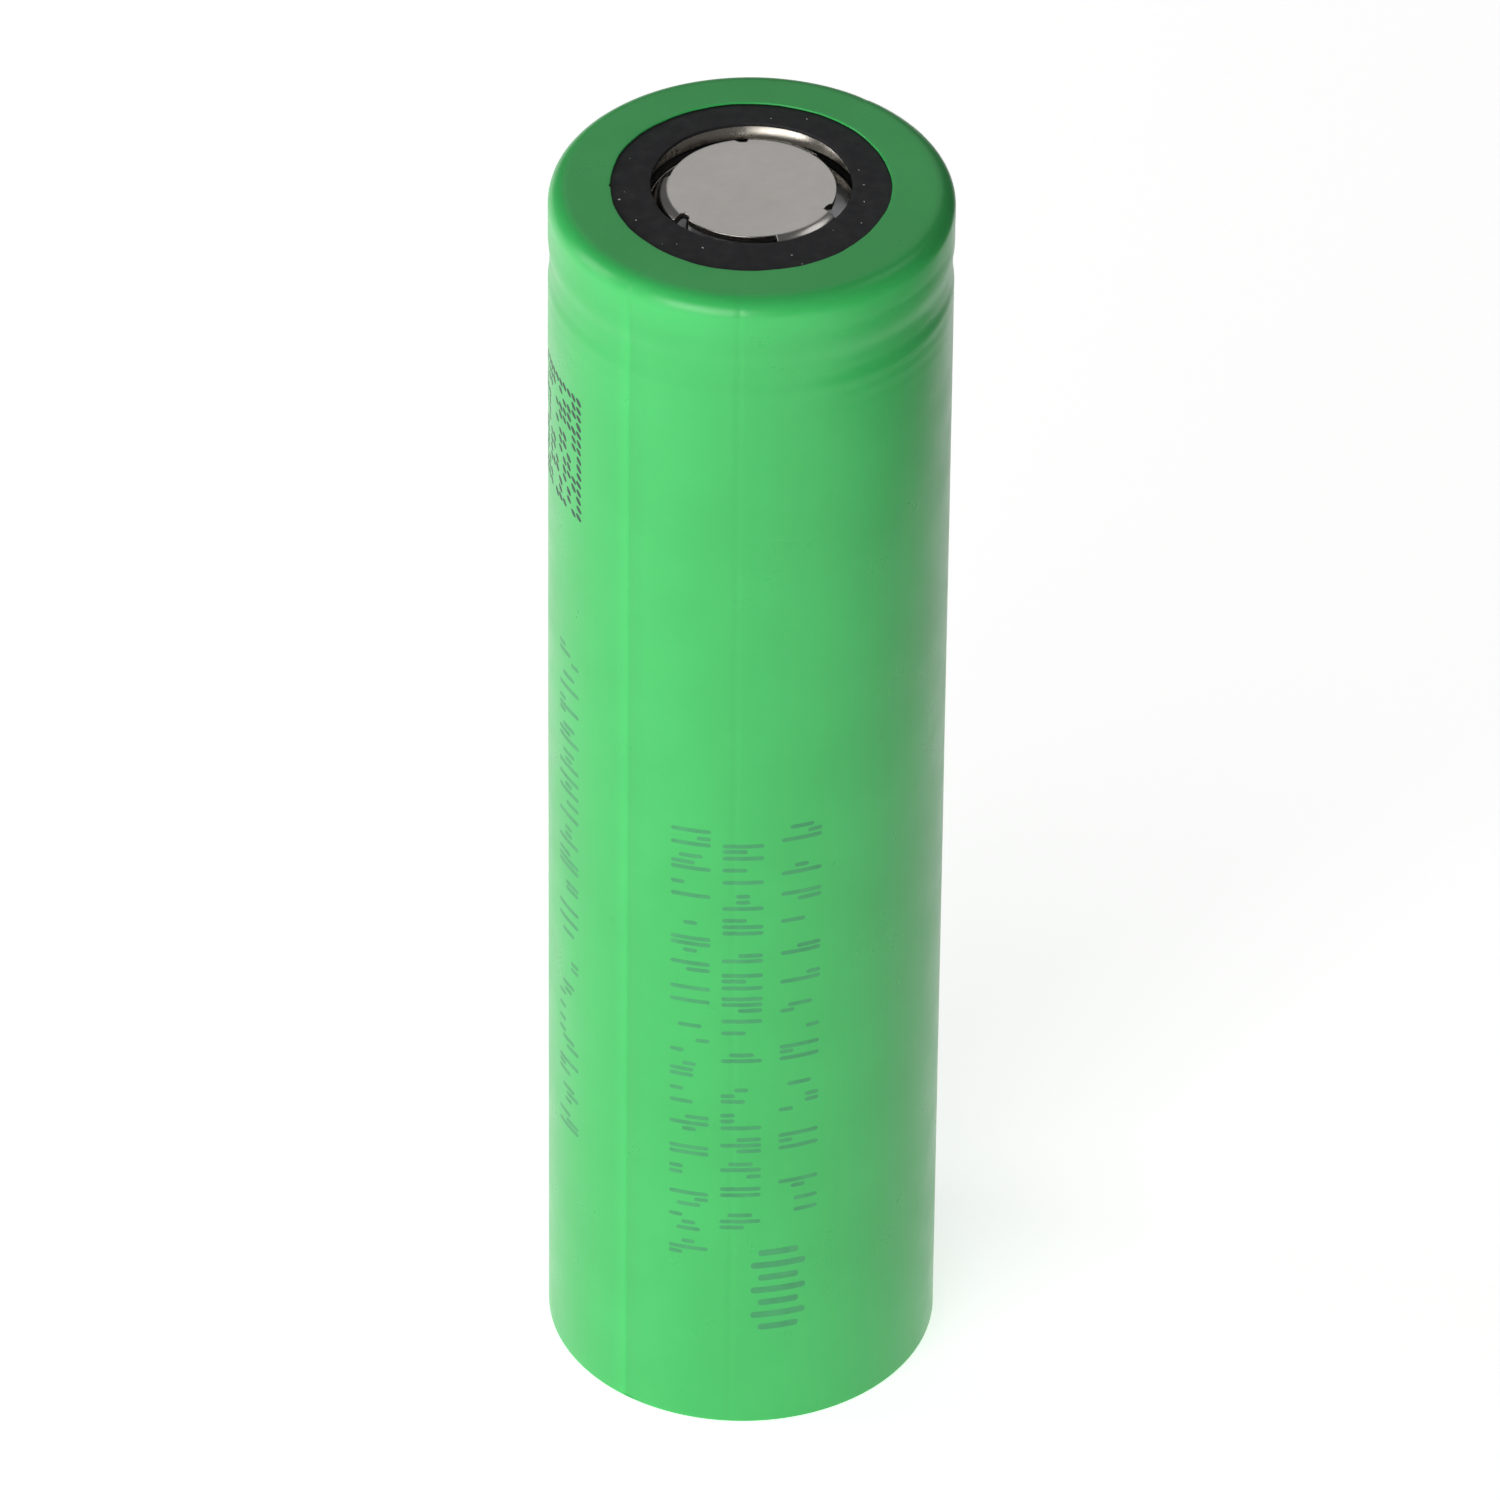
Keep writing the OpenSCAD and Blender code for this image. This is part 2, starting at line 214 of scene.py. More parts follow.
def print_ink():
    s = Surface("print_ink", 0.5)
    s.ramp(s.noise(900, 3), [(0.3, (0.008, 0.035, 0.022)), (0.7, (0.018, 0.075, 0.045))],
           "Base Color")
    s.bump(s.noise(3000, 2), 0.000004, 0.5)
    return s.material


def faint_ink():
    s = Surface("faint_ink", 0.42)
    s.ramp(s.noise(1100, 3), [(0.3, (0.032, 0.285, 0.100)), (0.7, (0.045, 0.350, 0.118))],
           "Base Color")
    s.bump(s.noise(3000, 2), 0.000004, 0.4)
    return s.material


def washer_board():
    s = Surface("washer_board", 0.62)
    s.ramp(s.noise(1400, 6, roughness=0.6), [(0.25, (0.014, 0.0145, 0.017)),
                                             (0.75, (0.021, 0.0215, 0.025))], "Base Color")
    s.ramp(s.noise(1600, 4), [(0.3, 0.55), (0.7, 0.75)], "Roughness")
    fibre = s.bump(s.noise(1.0, 4, s.stretched((4200, 900, 2500))), 0.00001, 0.4)
    s.bump(s.noise(5200, 3), 0.000008, 0.6, fibre)
    return s.material


def plated_steel(name, light, dark, low, high):
    s = Surface(name, 0.4, 1.0)
    s.ramp(s.noise(260, 5, roughness=0.6), [(0.3, dark), (0.7, light)], "Base Color")
    s.ramp(s.noise(1200, 5, roughness=0.7), [(0.3, low), (0.7, high)], "Roughness")
    grain = s.bump(s.noise(1.0, 4, s.stretched((700, 9000, 3000))), 0.000003, 0.25)
    s.bump(s.noise(4500, 4), 0.000004, 0.35, grain)
    return s.material


def soft_metal(name, light, dark, rough):
    s = Surface(name, rough, 1.0)
    s.ramp(s.noise(500, 4), [(0.3, dark), (0.7, light)], "Base Color")
    s.ramp(s.noise(1500, 4), [(0.3, rough - 0.06), (0.7, rough + 0.08)], "Roughness")
    s.bump(s.noise(1.0, 4, s.stretched((6000, 800, 6000))), 0.000004, 0.4)
    return s.material


def moulded(name, light, dark, rough, sheen=0.0):
    s = Surface(name, rough)
    s.ramp(s.noise(380, 4), [(0.3, dark), (0.7, light)], "Base Color")
    s.ramp(s.noise(1800, 3), [(0.3, rough - 0.05), (0.7, rough + 0.08)], "Roughness")
    s.bump(s.noise(3500, 3), 0.000006, 0.5)
    s.set(Coat_Weight=sheen, Coat_Roughness=0.3)
    return s.material


def coated(name, light, dark):
    """The pressed powder coating of an electrode."""
    s = Surface(name, 0.8)
    s.ramp(s.noise(2600, 6, roughness=0.75), [(0.3, dark), (0.7, light)], "Base Color")
    s.bump(s.noise(9000, 4, roughness=0.8), 0.00001, 0.7)
    return s.material


MATERIALS = {
    "sleeve_film": sleeve_film(),
    "print_ink": print_ink(),
    "faint_ink": faint_ink(),
    "washer_board": washer_board(),
    "dust": moulded("dust", (0.75, 0.75, 0.72), (0.5, 0.5, 0.48), 0.8),
    "plated_steel": plated_steel("plated_steel", (0.66, 0.62, 0.56), (0.56, 0.52, 0.46),
                                 0.22, 0.36),
    "cap_steel": plated_steel("cap_steel", (0.64, 0.62, 0.585), (0.60, 0.58, 0.545), 0.20, 0.27),
    "gasket_black": moulded("gasket_black", (0.014, 0.014, 0.014), (0.008, 0.008, 0.008), 0.45),
    "soft_aluminium": soft_metal("soft_aluminium", (0.62, 0.62, 0.63), (0.50, 0.50, 0.52), 0.34),
    "plate_aluminium": soft_metal("plate_aluminium", (0.66, 0.67, 0.70), (0.55, 0.56, 0.59), 0.4),
    "weld_aluminium": soft_metal("weld_aluminium", (0.50, 0.51, 0.54), (0.30, 0.31, 0.33), 0.6),
    "tab_aluminium": soft_metal("tab_aluminium", (0.72, 0.73, 0.75), (0.62, 0.63, 0.66), 0.35),
    "tab_nickel": soft_metal("tab_nickel", (0.60, 0.56, 0.50), (0.50, 0.47, 0.41), 0.33),
    "pin_steel": soft_metal("pin_steel", (0.50, 0.50, 0.50), (0.40, 0.40, 0.40), 0.36),
    "clear_plastic": moulded("clear_plastic", (0.75, 0.73, 0.66), (0.68, 0.66, 0.59), 0.4, 0.2),
    "amber_tape": moulded("amber_tape", (0.62, 0.32, 0.06), (0.52, 0.26, 0.04), 0.3, 0.3),
    "white_disc": moulded("white_disc", (0.74, 0.76, 0.72), (0.64, 0.67, 0.63), 0.6),
    "blue_tape": moulded("blue_tape", (0.12, 0.36, 0.52), (0.09, 0.30, 0.45), 0.35, 0.2),
    "separator_film": moulded("separator_film", (0.86, 0.86, 0.84), (0.80, 0.80, 0.79), 0.45, 0.2),
    "positive_coating": coated("positive_coating", (0.035, 0.035, 0.040), (0.020, 0.020, 0.022)),
    "negative_coating": coated("negative_coating", (0.070, 0.066, 0.062), (0.040, 0.037, 0.035)),
}

SLOT_OF = {entry["node"]: entry["material_slot"] for entry in frame["record"]["subparts"]}
for node_name, node_object in frame["nodes"].items():
    material = MATERIALS[SLOT_OF[node_name]]
    node_object.data.materials.clear()
    node_object.data.materials.append(material)


# ---- mesh helpers -----------------------------------------------------------------

def new_piece(name, verts, faces, material, body="cell", smooth_angle=35):
    """A mesh object from millimetre points. The body argument is not used."""
    mesh = bpy.data.meshes.new(name)
    mesh.from_pydata([(x * MM, y * MM, z * MM) for x, y, z in verts], [], faces)
    mesh.validate()
    bm = bmesh.new()
    bm.from_mesh(mesh)
    bmesh.ops.recalc_face_normals(bm, faces=bm.faces)
    limit = math.radians(smooth_angle)
    for edge in bm.edges:
        edge.smooth = not (len(edge.link_faces) == 2 and edge.calc_face_angle(0) > limit)
    for face in bm.faces:
        face.smooth = True
    bm.to_mesh(mesh)
    bm.free()
    mesh.materials.append(MATERIALS[material])
    piece = bpy.data.objects.new(name, mesh)
    bpy.context.scene.collection.objects.link(piece)
    return piece


def rounded(corners, arc_steps=5):
    """A closed section from (r, z, fillet radius) corners, each corner turned into an arc."""
    out = []
    count = len(corners)
    for i, (r, z, radius) in enumerate(corners):
        here = Vector((r, z))
        before = Vector(corners[i - 1][:2]) - here
        after = Vector(corners[(i + 1) % count][:2]) - here
        if radius <= 0:
            out.append((r, z))
            continue
        half = before.angle(after) / 2
        reach = min(radius / math.tan(half), before.length * 0.49, after.length * 0.49)
        radius = reach * math.tan(half)
        start = here + before.normalized() * reach
        end = here + after.normalized() * reach
        centre = here + (before.normalized() + after.normalized()).normalized() * (
            radius / math.sin(half))
        spoke_a, spoke_b = start - centre, end - centre
        sweep = spoke_a.angle(spoke_b)
        for k in range(arc_steps + 1):
            t = k / arc_steps
            mix = (math.sin((1 - t) * sweep) * spoke_a + math.sin(t * sweep) * spoke_b)
            point = centre + mix / math.sin(sweep)
            out.append((point.x, point.y))
    return out


def divided(section, longest):
    """The same closed section with no stretch longer than longest."""
    out = []
    for (r0, z0), (r1, z1) in zip(section, section[1:] + section[:1]):
        parts = max(1, math.ceil(math.hypot(r1 - r0, z1 - z0) / longest))
        out += [(r0 + (r1 - r0) * k / parts, z0 + (z1 - z0) * k / parts) for k in range(parts)]
    return out


def lathe(name, section, sides, material, move=None, body="cell", smooth_angle=35):
    """A closed section turned round the axis. Points at radius 0 become poles."""
    verts, rows = [], []
    for r, z in section:
        if r < 1e-6:
            rows.append([len(verts)] * sides)
            verts.append((0, 0, z))
            continue
        rows.append(list(range(len(verts), len(verts) + sides)))
        for j in range(sides):
            a = TAU * j / sides
            rr, zz = move(r, z, a) if move else (r, z)
            verts.append((rr * math.cos(a), rr * math.sin(a), zz))
    faces = []
    count = len(rows)
    for i in range(count):
        low, high = rows[i], rows[(i + 1) % count]
        if low[0] == low[1] and high[0] == high[1]:
            continue
        for j in range(sides):
            k = (j + 1) % sides
            loop = [low[j], low[k], high[k], high[j]]
            clean = [v for n, v in enumerate(loop) if v != loop[n - 1]]
            faces.append(clean)
    return new_piece(name, verts, faces, material, body, smooth_angle)


def smoothstep(low, high, x):
    t = min(1.0, max(0.0, (x - low) / (high - low)))
    return t * t * (3 - 2 * t)


def around(a, centre_degrees):
    """Signed distance in mm round the sleeve from an azimuth, anticlockwise from above."""
    d = (a - math.radians(centre_degrees) + math.pi) % TAU - math.pi
    return d * SLEEVE_R


# ---- shrink sleeve ----------------------------------------------------------------

FRONT_LINE = -93                # a fine pressed line down the front
WALL_R = 9.0                    # both faces of the film's wall lie outside this radius
SKIN_R = SLEEVE_R - 0.004       # a hair inside the CAD radius, so that print stays inside too


def bead_bump(z):
    """1 over the middle of the bead, easing to 0 above and below it."""
    up = z - BEAD_Z
    return smoothstep(-1.15, -0.4, up) * (1 - smoothstep(0.4, 1.1, up))


def fold_sink(a):
    """A shallow step beside each lay-flat fold, with a fine ridge on the fold itself."""
    sink = 0.0
    for place in FOLD_LINES:
        d = around(a, place)
        sink += 0.052 * math.exp(-d / 0.55) if d >= 0 else 0.022 * math.exp(d / 0.3)
        sink -= 0.010 * math.exp(-(d / 0.12) ** 2)
    return sink


def ripple_sink(z, a):
    """Level rings in the film above and below the bead, and the finer ones beside it."""
    sink = 0.016 * math.exp(-((z - 63.10) / 0.16) ** 2) * (0.75 + 0.25 * math.sin(a + 2.2))
    sink += 0.010 * math.exp(-((z - 59.55) / 0.14) ** 2) * (0.7 + 0.3 * math.sin(3 * a + 0.4))
    rings = smoothstep(57.6, 58.6, z) * (1 - smoothstep(62.0, 62.6, z))
    return sink + 0.0045 * rings * (1 + math.sin(7.4 * z + 0.8 * math.sin(a) + 0.5))


def film_sink(z, a):
    """How far the film lies inside its nominal radius, in mm."""
    sink = BEAD_DRAW * bead_bump(z) * (0.88 + 0.10 * math.sin(2 * a + 0.7) + 0.02 * math.sin(5 * a))
    sink += ripple_sink(z, a) + fold_sink(a)
    sink += 0.020 * math.exp(-(around(a, FRONT_LINE) / 0.13) ** 2)
    waves = math.sin(3 * a + 0.21 * z) + math.sin(5 * a - 0.33 * z + 1.3)
    sink += 0.0045 * (1 + 0.5 * waves)
    sink += 0.0015 * (1 + math.sin(0.9 * z + 2 * a) * math.sin(7 * a + 0.15 * z))
    return sink


def opening_wander(a):
    """How far the upper opening's edge strays outwards from its nominal circle, in mm."""
    wander = 0.026 * math.sin(3 * a + 0.5) + 0.016 * math.sin(7 * a + 2.0)
    wander += 0.008 * math.sin(19 * a) + 0.004 * math.sin(41 * a + 1.0)
    wander += 0.11 * math.sin(a) ** 2 - 0.03 * math.cos(a) ** 2 + 0.05 * math.sin(a)
    wander += 0.07 * math.exp(-(around(a, 180) / 0.16) ** 2)
    return wander - 0.10 * smoothstep(0.3, 1.0, math.cos(a))


def sleeve_point(r, z, a):
    """Moves a point of the plain section to where the shrunk film really lies."""
    if r > WALL_R and FILM < z < HEIGHT - SHOULDER:
        return r - (SLEEVE_R - SKIN_R) - film_sink(z, a), z
    if z >= HEIGHT - SHOULDER and r > 6.0:
        if z > HEIGHT - FILM / 2 or r > SLEEVE_R - SHOULDER:
            sink = (film_sink(z, a) + SLEEVE_R - SKIN_R) * smoothstep(TOP_OPENING, 8.6, r)
            lean = smoothstep(8.3, SLEEVE_R, r)
            r, z = r - sink * lean, z - sink * (1 - lean) * 0.6
        return r + opening_wander(a) * (1 - smoothstep(TOP_OPENING, TOP_OPENING + 0.7, r)), z
    return r, z


def sleeve_section():
    wall = rounded([
        (FOOT_OPENING, 0.0, 0.03), (SLEEVE_R, 0.0, 0.15), (SLEEVE_R, HEIGHT, SHOULDER),
        (TOP_OPENING, HEIGHT, 0.045), (TOP_OPENING, HEIGHT - FILM, 0.03),
        (SLEEVE_R - FILM, HEIGHT - FILM, SHOULDER - FILM), (SLEEVE_R - FILM, FILM, 0.05),
        (FOOT_OPENING, FILM, 0.03)], 9)
    return divided(wall, 0.22)


sleeve = lathe("sleeve_skin", sleeve_section(), 540, "sleeve_film", sleeve_point)
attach(sleeve, "cell")
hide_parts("sleeve")


# ---- print on the sleeve: plain marks that say nothing ----------------------------

INK_DEPTH = 0.012
INK_LIFT = 0.003
RIBBON_STEP = 0.09              # short enough for the print to follow the round sleeve


def ink_plates(name, ribbons, material):
    """Thin closed plates on the sleeve. A ribbon is a row of (azimuth, low z, high z)."""
    verts, faces = [], []
    for ribbon in ribbons:
        base = len(verts)
        last = len(ribbon) - 1
        for a, low, high in ribbon:
            for z in (low, high):
                for lift in (-INK_DEPTH, INK_LIFT):
                    r = SKIN_R - film_sink(z, a) + lift
                    verts.append((r * math.cos(a), r * math.sin(a), z))
        for k in range(last):
            p, q = base + 4 * k, base + 4 * (k + 1)
            faces += [[p + 1, q + 1, q + 3, p + 3], [p, p + 2, q + 2, q],
                      [p, q, q + 1, p + 1], [p + 2, p + 3, q + 3, q + 2]]
        end = base + 4 * last
        faces += [[base, base + 1, base + 3, base + 2], [end, end + 2, end + 3, end + 1]]
    piece = new_piece(name, verts, faces, material)
    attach(piece, "cell")
    return piece


def slanted_dot(a, z, width, height, slant):
    """A small rounded dot leaning over by slant."""
    ribbon = []
    for k in range(7):
        t = -0.96 + 1.92 * k / 6
        half = 0.5 * height * math.sqrt(1 - t * t)
        middle = z + slant * t * height
        ribbon.append((a + 0.5 * width * t / SLEEVE_R, middle - half, middle + half))
    return ribbon


def bar(a, z, width, height, tilt=0.0):
    """A bar with rounded ends, its width measured round the sleeve."""
    parts = max(4, math.ceil(width / RIBBON_STEP))
    ribbon = []
    for k in range(parts + 1):
        d = width * (k / parts - 0.5)
        tip = min(1.0, (0.5 * width - abs(d)) / (0.5 * height) + 0.15)
        half = 0.5 * height * math.sqrt(max(0.05, 1 - (1 - tip) ** 2))
        ribbon.append((a + d / SLEEVE_R, z + tilt * d - half, z + tilt * d + half))
    return ribbon


def dot_patch():
    """A square patch of scattered dots, thicker along its right and upper edges."""
    columns, rows, spacing = 15, 15, 0.46
    right = math.radians(-147)
    top = 56.5
    dots = []
    for i in range(columns):
        for j in range(rows):
            chance = 0.97 if i == 0 or j == 0 else 0.52
            if rng.random() > chance:
                continue
            a = right - i * spacing / SLEEVE_R + rng.uniform(-0.02, 0.02) / SLEEVE_R
            z = top - j * spacing + rng.uniform(-0.02, 0.02)
            dots.append(slanted_dot(a, z, rng.uniform(0.38, 0.46), rng.uniform(0.26, 0.34), -0.3))
    return dots


STROKE_HEIGHT = 0.22
STROKE_STEP = 0.36
PRINT_TILT = 0.04               # the print runs a little askew round the sleeve


def bar_block(a, top, bars=7):
    """A block of plain bars, long and short in turn."""
    widths, height, step = (1.9, 2.6), 0.36, 0.75
    return [bar(a, top - step * k, widths[k % 2], height, PRINT_TILT) for k in range(bars)]


def mark_column(azimuth, high, low, width):
    """A column of short strokes that stand where a line of print would be."""
    skipped, long_gap = 0.2, 0.12       # chances of a missing stroke and of a wider gap
    strokes = []
    z = high
    a = math.radians(azimuth)
    while z > low:
        cell = rng.uniform(1.35, 1.65)
        for k in range(3):
            if rng.random() < skipped:
                continue
            length = width * rng.choice((0.35, 0.6, 1.0))
            shift = rng.choice((-0.5, 0.0, 0.5)) * (width - length)
            middle = z - STROKE_STEP * k - 0.06 * rng.random()
            strokes.append(bar(a + shift / SLEEVE_R, middle, length, STROKE_HEIGHT, PRINT_TILT))
        z -= cell + (0.9 if rng.random() < long_gap else 0.0)
    return strokes


ink_plates("sleeve_dot_patch", dot_patch(), "print_ink")
# azimuth, upper end and lower end of each column of strokes
MARK_COLUMNS = ((-105.8, 35.2, 10.2), (-90.5, 34.6, 11.6), (-73.5, 35.6, 12.2),
                (-153.0, 42.0, 14.0))
COLUMN_WIDTH = 1.9
marks = []
for azimuth, high, low in MARK_COLUMNS:
    marks += mark_column(azimuth, high, low, COLUMN_WIDTH)
marks += bar_block(math.radians(-79.0), 10.4)
ink_plates("sleeve_marks", marks, "faint_ink")


# ---- washer under the sleeve ------------------------------------------------------

WASHER_HOLE = 4.55
WASHER_R = WASHER_HIGH[0] / MM
WASHER_Y = (WASHER_LOW[1] + WASHER_HIGH[1]) / 2 / MM      # it sits a little off centre
WASHER_BASE = WASHER_LOW[2] / MM
WASHER_TOP = WASHER_HIGH[2] / MM


def washer_point(r, z, a):
    """The cut edge of the hole, a little uneven and drawn out towards the back."""
    edge = 1 - smoothstep(WASHER_HOLE, WASHER_HOLE + 0.4, r)
    wander = 0.012 * math.sin(2 * a + 1.0) + 0.008 * math.sin(9 * a) + 0.004 * math.sin(31 * a)
    wander += 0.20 * smoothstep(0.1, 1.0, math.sin(a)) - 0.05 * smoothstep(0.3, 1.0, math.cos(a))
    return r + wander * edge, z - 0.012 * edge * (0.5 + 0.5 * math.sin(3 * a))


washer = lathe("washer", divided(rounded([
    (WASHER_HOLE, WASHER_BASE, 0.02), (WASHER_R, WASHER_BASE, 0.03),
    (WASHER_R, WASHER_TOP, 0.03), (WASHER_HOLE, WASHER_TOP, 0.045)], 4), 0.3),
    360, "washer_board", washer_point)
for vertex in washer.data.vertices:
    vertex.co.y += WASHER_Y * MM
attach(washer, "cell")
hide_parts("insulator_washer")


def dust_flakes(count):
    """Tiny six-sided flakes that lie on the washer."""
    sides, thickness, sunk = 6, 0.012, 0.006
    verts, faces = [], []
    for _ in range(count):
        a, r = rng.uniform(0, TAU), rng.uniform(4.8, 6.25)
        size = rng.choice((0.018, 0.025, 0.035, 0.05))
        spin = rng.uniform(0, TAU)
        base = len(verts)
        for lift in (0.0, thickness):
            for k in range(sides):
                t = spin + TAU * k / sides
                reach = size * rng.uniform(0.6, 1.3) * (1.0 if k % 3 else 1.5)
                verts.append((r * math.cos(a) + reach * math.cos(t),
                              r * math.sin(a) + reach * math.sin(t), WASHER_TOP - sunk + lift))
        faces.append([base + k for k in range(sides)][::-1])
        faces.append([base + sides + k for k in range(sides)])
        for k in range(sides):
            n = (k + 1) % sides
            faces.append([base + k, base + n, base + sides + n, base + sides + k])
    return verts, faces


flake_verts, flake_faces = dust_flakes(16)
flakes = new_piece("washer_dust", flake_verts, flake_faces, "dust")
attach(flakes, "cell")


# ---- terminal cap: one stamped sheet with three gas windows -----------------------

CAP_STOCK = 0.35
BUTTON_R = 3.8
WALL_TOP_R = 4.22
WALL_FOOT_R = 4.75
FLANGE_TOP = CAP_BASE + CAP_STOCK
WINDOW_STARTS = (-27, 93, 213)
WINDOW_SWEEP = 74
NICK_SWEEP = 8.5
NICK_DEPTH = 0.20
COLUMN_STEP = 1.0


def window_place(degrees):
    """Degrees into a window, or None on a leg."""
    for start in WINDOW_STARTS:
        into = (degrees - start) % 360
        if into < WINDOW_SWEEP:
            return into
    return None


def button_edge(degrees):
    """Radius of the button's cut edge, with the small relief nick beside each leg."""
    into = window_place(degrees)
    if into is None or into > NICK_SWEEP:
        return BUTTON_R
    t = into / NICK_SWEEP
    shape = smoothstep(0.0, 0.10, t) * math.sqrt(max(0.0, 1 - (1.9 * max(0.0, t - 0.47)) ** 2))
    return BUTTON_R - NICK_DEPTH * shape


def cap_mesh():
    """The sheet's upper face as columns round the axis, with the window faces left out."""
    disc = [(0.0, CAP_TOP), (0.45, CAP_TOP), (0.8, CAP_TOP), (0.97, CAP_TOP - 0.004),
            (1.0, CAP_TOP - 0.012)]
    wall = [(3.93, CAP_TOP - 0.07), (4.10, CAP_TOP - 0.18), (WALL_TOP_R, CAP_TOP - 0.30),
            (4.40, CAP_TOP - 0.62), (4.58, FLANGE_TOP + 0.26)]
    flange = [(4.68, FLANGE_TOP + 0.10), (WALL_FOOT_R + 0.04, FLANGE_TOP + 0.035),
              (WALL_FOOT_R + 0.12, FLANGE_TOP + 0.008), (WALL_FOOT_R + 0.2, FLANGE_TOP),
              (6.2, FLANGE_TOP), (FLANGE_R, FLANGE_TOP)]
    columns = int(360 / COLUMN_STEP)
    verts, rows = [(0, 0, CAP_TOP)], []
    rings = [("disc", *p) for p in disc[1:]]
    rings += [("wall", *p) for p in wall]
    rings += [("flange", *p) for p in flange]
    for part, r, z in rings:
        row = []
        for j in range(columns):
            degrees = j * COLUMN_STEP
            a = math.radians(degrees)
            rr = r * button_edge(degrees) if part == "disc" else r
            row.append(len(verts))
            verts.append((rr * math.cos(a), rr * math.sin(a), z))
        rows.append((part, row))
    faces = [[0, rows[0][1][j], rows[0][1][(j + 1) % columns]] for j in range(columns)]
    for (before, low), (part, high) in zip(rows, rows[1:]):
        pierced = part == "wall" or before == "wall"
        for j in range(columns):
            if pierced and window_place((j + 0.5) * COLUMN_STEP) is not None:
                continue
            k = (j + 1) % columns
            faces.append([low[j], high[j], high[k], low[k]])
    return verts, faces


cap_verts, cap_faces = cap_mesh()
cap = new_piece("terminal_button", cap_verts, cap_faces, "cap_steel")
thick = cap.modifiers.new("sheet", "SOLIDIFY")
thick.thickness = CAP_STOCK * MM
thick.offset = -1
thick.use_even_offset = False
edge_round = cap.modifiers.new("edges", "BEVEL")
edge_round.width = 0.085 * MM
edge_round.segments = 4
edge_round.limit_method = "ANGLE"
edge_round.angle_limit = math.radians(50)
edge_round.use_clamp_overlap = True
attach(cap, "cell")
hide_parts("terminal_cap")


# ---- can: bare pad below, crimped lip above ---------------------------------------

CAN_WALL = 0.2
CAN_FLOOR = 0.3
CAN_BASE = 0.13
PAD_R = 5.9
LIP_R = 4.95
LIP_TURN = 0.65
LIP_SLOPE = 0.4
LIP_BACK_R = LIP_R + 1.15 * CAN_WALL
BEAD_DEPTH = 1.2
BEAD_HALF = 0.5
GROOVE_R = CAN_R - BEAD_DEPTH              # bottom of the groove, outside


def can_section():
    """Up the outside from the pad to the lip, then back down the inside."""
    bore = CAN_R - CAN_WALL
    low, high = BEAD_Z - BEAD_HALF, BEAD_Z + BEAD_HALF
    lip_low = CAN_TOP - LIP_TURN
    inner_top = CAN_TOP - CAN_WALL
    floor_top = CAN_BASE + CAN_FLOOR
    outside = [
        (0, 0, 0), (PAD_R, 0, 0.06), (PAD_R + 0.02, CAN_BASE, 0.03), (CAN_R, CAN_BASE, 0.1),
        (CAN_R, low, 0.12), (GROOVE_R, low, 0.45), (GROOVE_R, high, 0.45), (CAN_R, high, 0.12),
        (CAN_R, CAN_TOP, 0.77), (LIP_R + LIP_SLOPE, CAN_TOP, 0.25), (LIP_R, lip_low, 0.05)]
    inside = [
        (LIP_BACK_R, lip_low, 0.05),
        (LIP_BACK_R + LIP_SLOPE * (1 - CAN_WALL / LIP_TURN), inner_top, 0.1),
        (bore, inner_top, 0.57), (bore, high + CAN_WALL, 0.05),
        (GROOVE_R - CAN_WALL, high + CAN_WALL, 0.6), (GROOVE_R - CAN_WALL, low - CAN_WALL, 0.6),
        (bore, low - CAN_WALL, 0.05), (bore, floor_top, 0.1), (0, floor_top, 0)]
    return divided(rounded(outside + inside, 4), 1.0)


can = lathe("can_shell", can_section(), 240, "plated_steel")
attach(can, "cell")
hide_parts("can")


# ---- vent disc: a fixed dome here, though the real disc bends when the interrupter trips ---

def vent_section():
    """Under the dished middle to the folded rim, then back over the top."""
    low, high = VENT_LOW[2] / MM, VENT_HIGH[2] / MM
    rim_r = VENT_HIGH[0] / MM
    rim = CAP_BASE - 0.03
    base = rim - 0.4
    return divided(rounded([
        (0, low, 0), (1.7, low, 0.1), (4.4, base - 0.12, 0.3), (5.1, base, 0.2),
        (rim_r, base, 0.1), (rim_r, high, 0.08), (rim_r - 0.9, high, 0.03),
        (rim_r - 0.9, high - 0.2, 0.02), (FLANGE_R + 0.03, high - 0.2, 0.02),
        (FLANGE_R + 0.03, rim, 0.02), (5.1, rim, 0.1), (4.5, base + 0.1, 0.2),
        (2.95, low + 0.72, 0.05), (2.85, low + 0.62, 0.02), (2.7, low + 0.64, 0.05),
        (1.75, low + 0.3, 0.1), (0, low + 0.3, 0)], 4), 0.4)


vent = lathe("vent_dome", vent_section(), 180, "soft_aluminium")
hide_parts("vent_disc")
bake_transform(vent)


# ---- floor and light --------------------------------------------------------------

def floor_material():
    s = Surface("pale_floor", 0.9)
    s.ramp(s.noise(6, 3), [(0.3, (0.80, 0.80, 0.80)), (0.7, (0.83, 0.83, 0.83))], "Base Color")
    s.set(Emission_Color=(1, 1, 1, 1), Emission_Strength=0.72, Specular_IOR_Level=0.0)
    return s.material


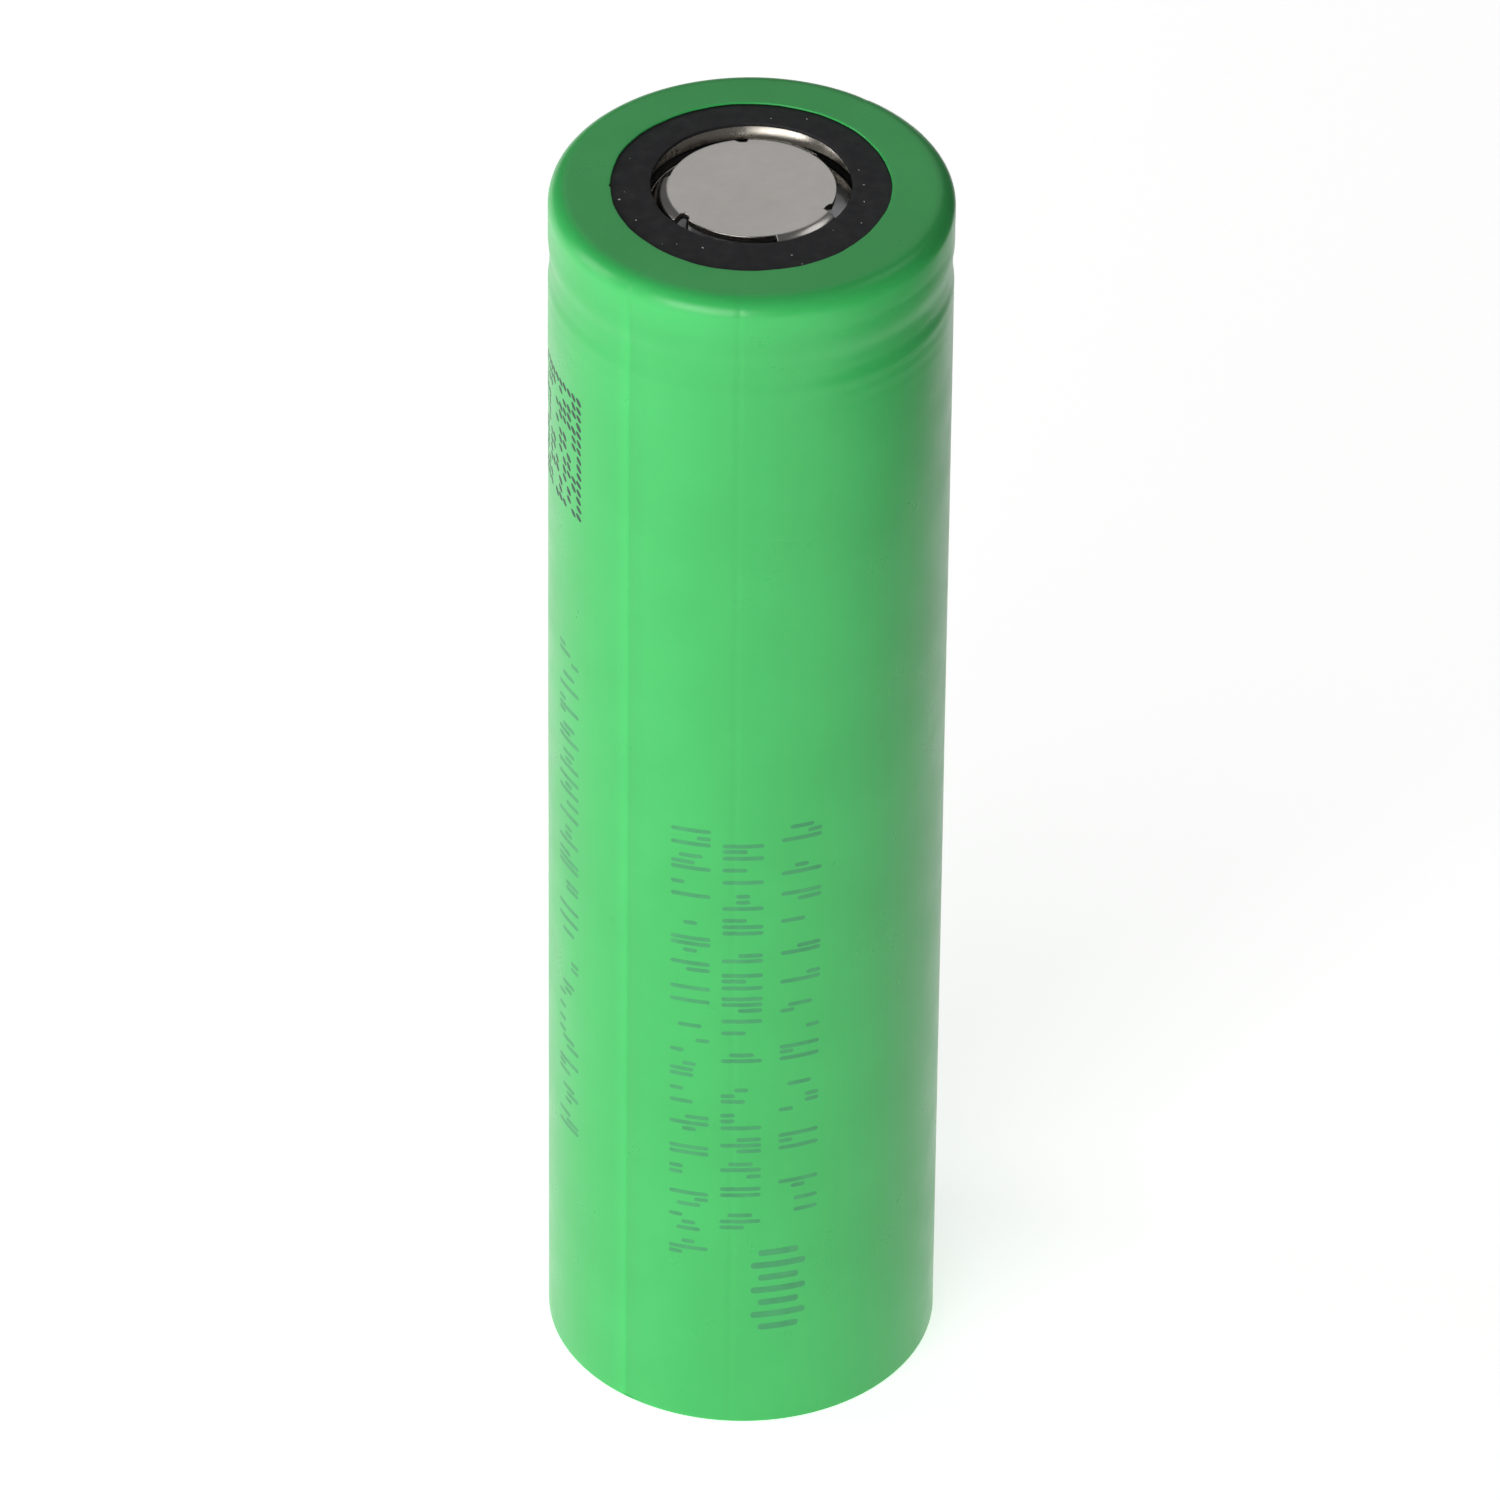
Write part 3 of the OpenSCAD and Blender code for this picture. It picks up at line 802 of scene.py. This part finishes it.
floor_mesh = bpy.data.meshes.new("floor")
FLOOR_HALF = 3.0
floor_mesh.from_pydata([(-FLOOR_HALF, -FLOOR_HALF, 0), (FLOOR_HALF, -FLOOR_HALF, 0),
                        (FLOOR_HALF, FLOOR_HALF, 0), (-FLOOR_HALF, FLOOR_HALF, 0)],
                       [], [[0, 1, 2, 3]])
floor_mesh.materials.append(floor_material())
floor = bpy.data.objects.new("floor", floor_mesh)
floor.location.z = -0.00005
bpy.context.scene.collection.objects.link(floor)


def soft_light(name, azimuth, elevation, distance, size, watts, colour=(1, 1, 1), tall=None):
    data = bpy.data.lights.new(name, "AREA")
    data.shape = "RECTANGLE"
    data.size = size
    data.size_y = tall or size
    data.energy = watts
    data.color = colour
    lamp = bpy.data.objects.new(name, data)
    a, e = math.radians(azimuth), math.radians(elevation)
    towards = Vector((math.cos(e) * math.cos(a), math.cos(e) * math.sin(a), math.sin(e)))
    lamp.location = Vector((0, 0, 0.035)) + distance * towards
    lamp.rotation_euler = towards.to_track_quat("Z", "Y").to_euler()
    bpy.context.scene.collection.objects.link(lamp)
    return lamp


soft_light("key", -116, 18, 0.75, 0.60, 3.9, (1.0, 0.995, 0.98), tall=0.42)
soft_light("rim_left", 178, 16, 0.8, 0.30, 1.6, tall=0.5)
soft_light("back_card", 88, 42, 0.8, 0.62, 0.46, tall=0.5)
soft_light("right_card", 12, 48, 0.8, 0.3, 0.30, tall=0.3)


def fill_stop():
    """A black card beside the object, unseen by the camera, that keeps the right side darker."""
    s = Surface("black_card", 0.9)
    s.ramp(s.noise(20, 2), [(0.3, (0.06, 0.06, 0.06)), (0.7, (0.08, 0.08, 0.08))],
           "Base Color")
    mesh = bpy.data.meshes.new("black_card")
    x, near, far, top = 0.078, -0.10, 0.25, 0.10
    mesh.from_pydata([(x, near, 0), (x, far, 0), (x, far, top), (x, near, top)], [],
                     [[0, 1, 2, 3]])
    mesh.materials.append(s.material)
    card = bpy.data.objects.new("black_card", mesh)
    card.visible_camera = False
    bpy.context.scene.collection.objects.link(card)


fill_stop()

world = bpy.data.worlds.new("studio")
bpy.context.scene.world = world
world.use_nodes = True
background = world.node_tree.nodes["Background"]
background.inputs["Color"].default_value = (0.11, 0.11, 0.11, 1)
background.inputs["Strength"].default_value = 1.0
bpy.context.scene.view_settings.view_transform = "Standard"
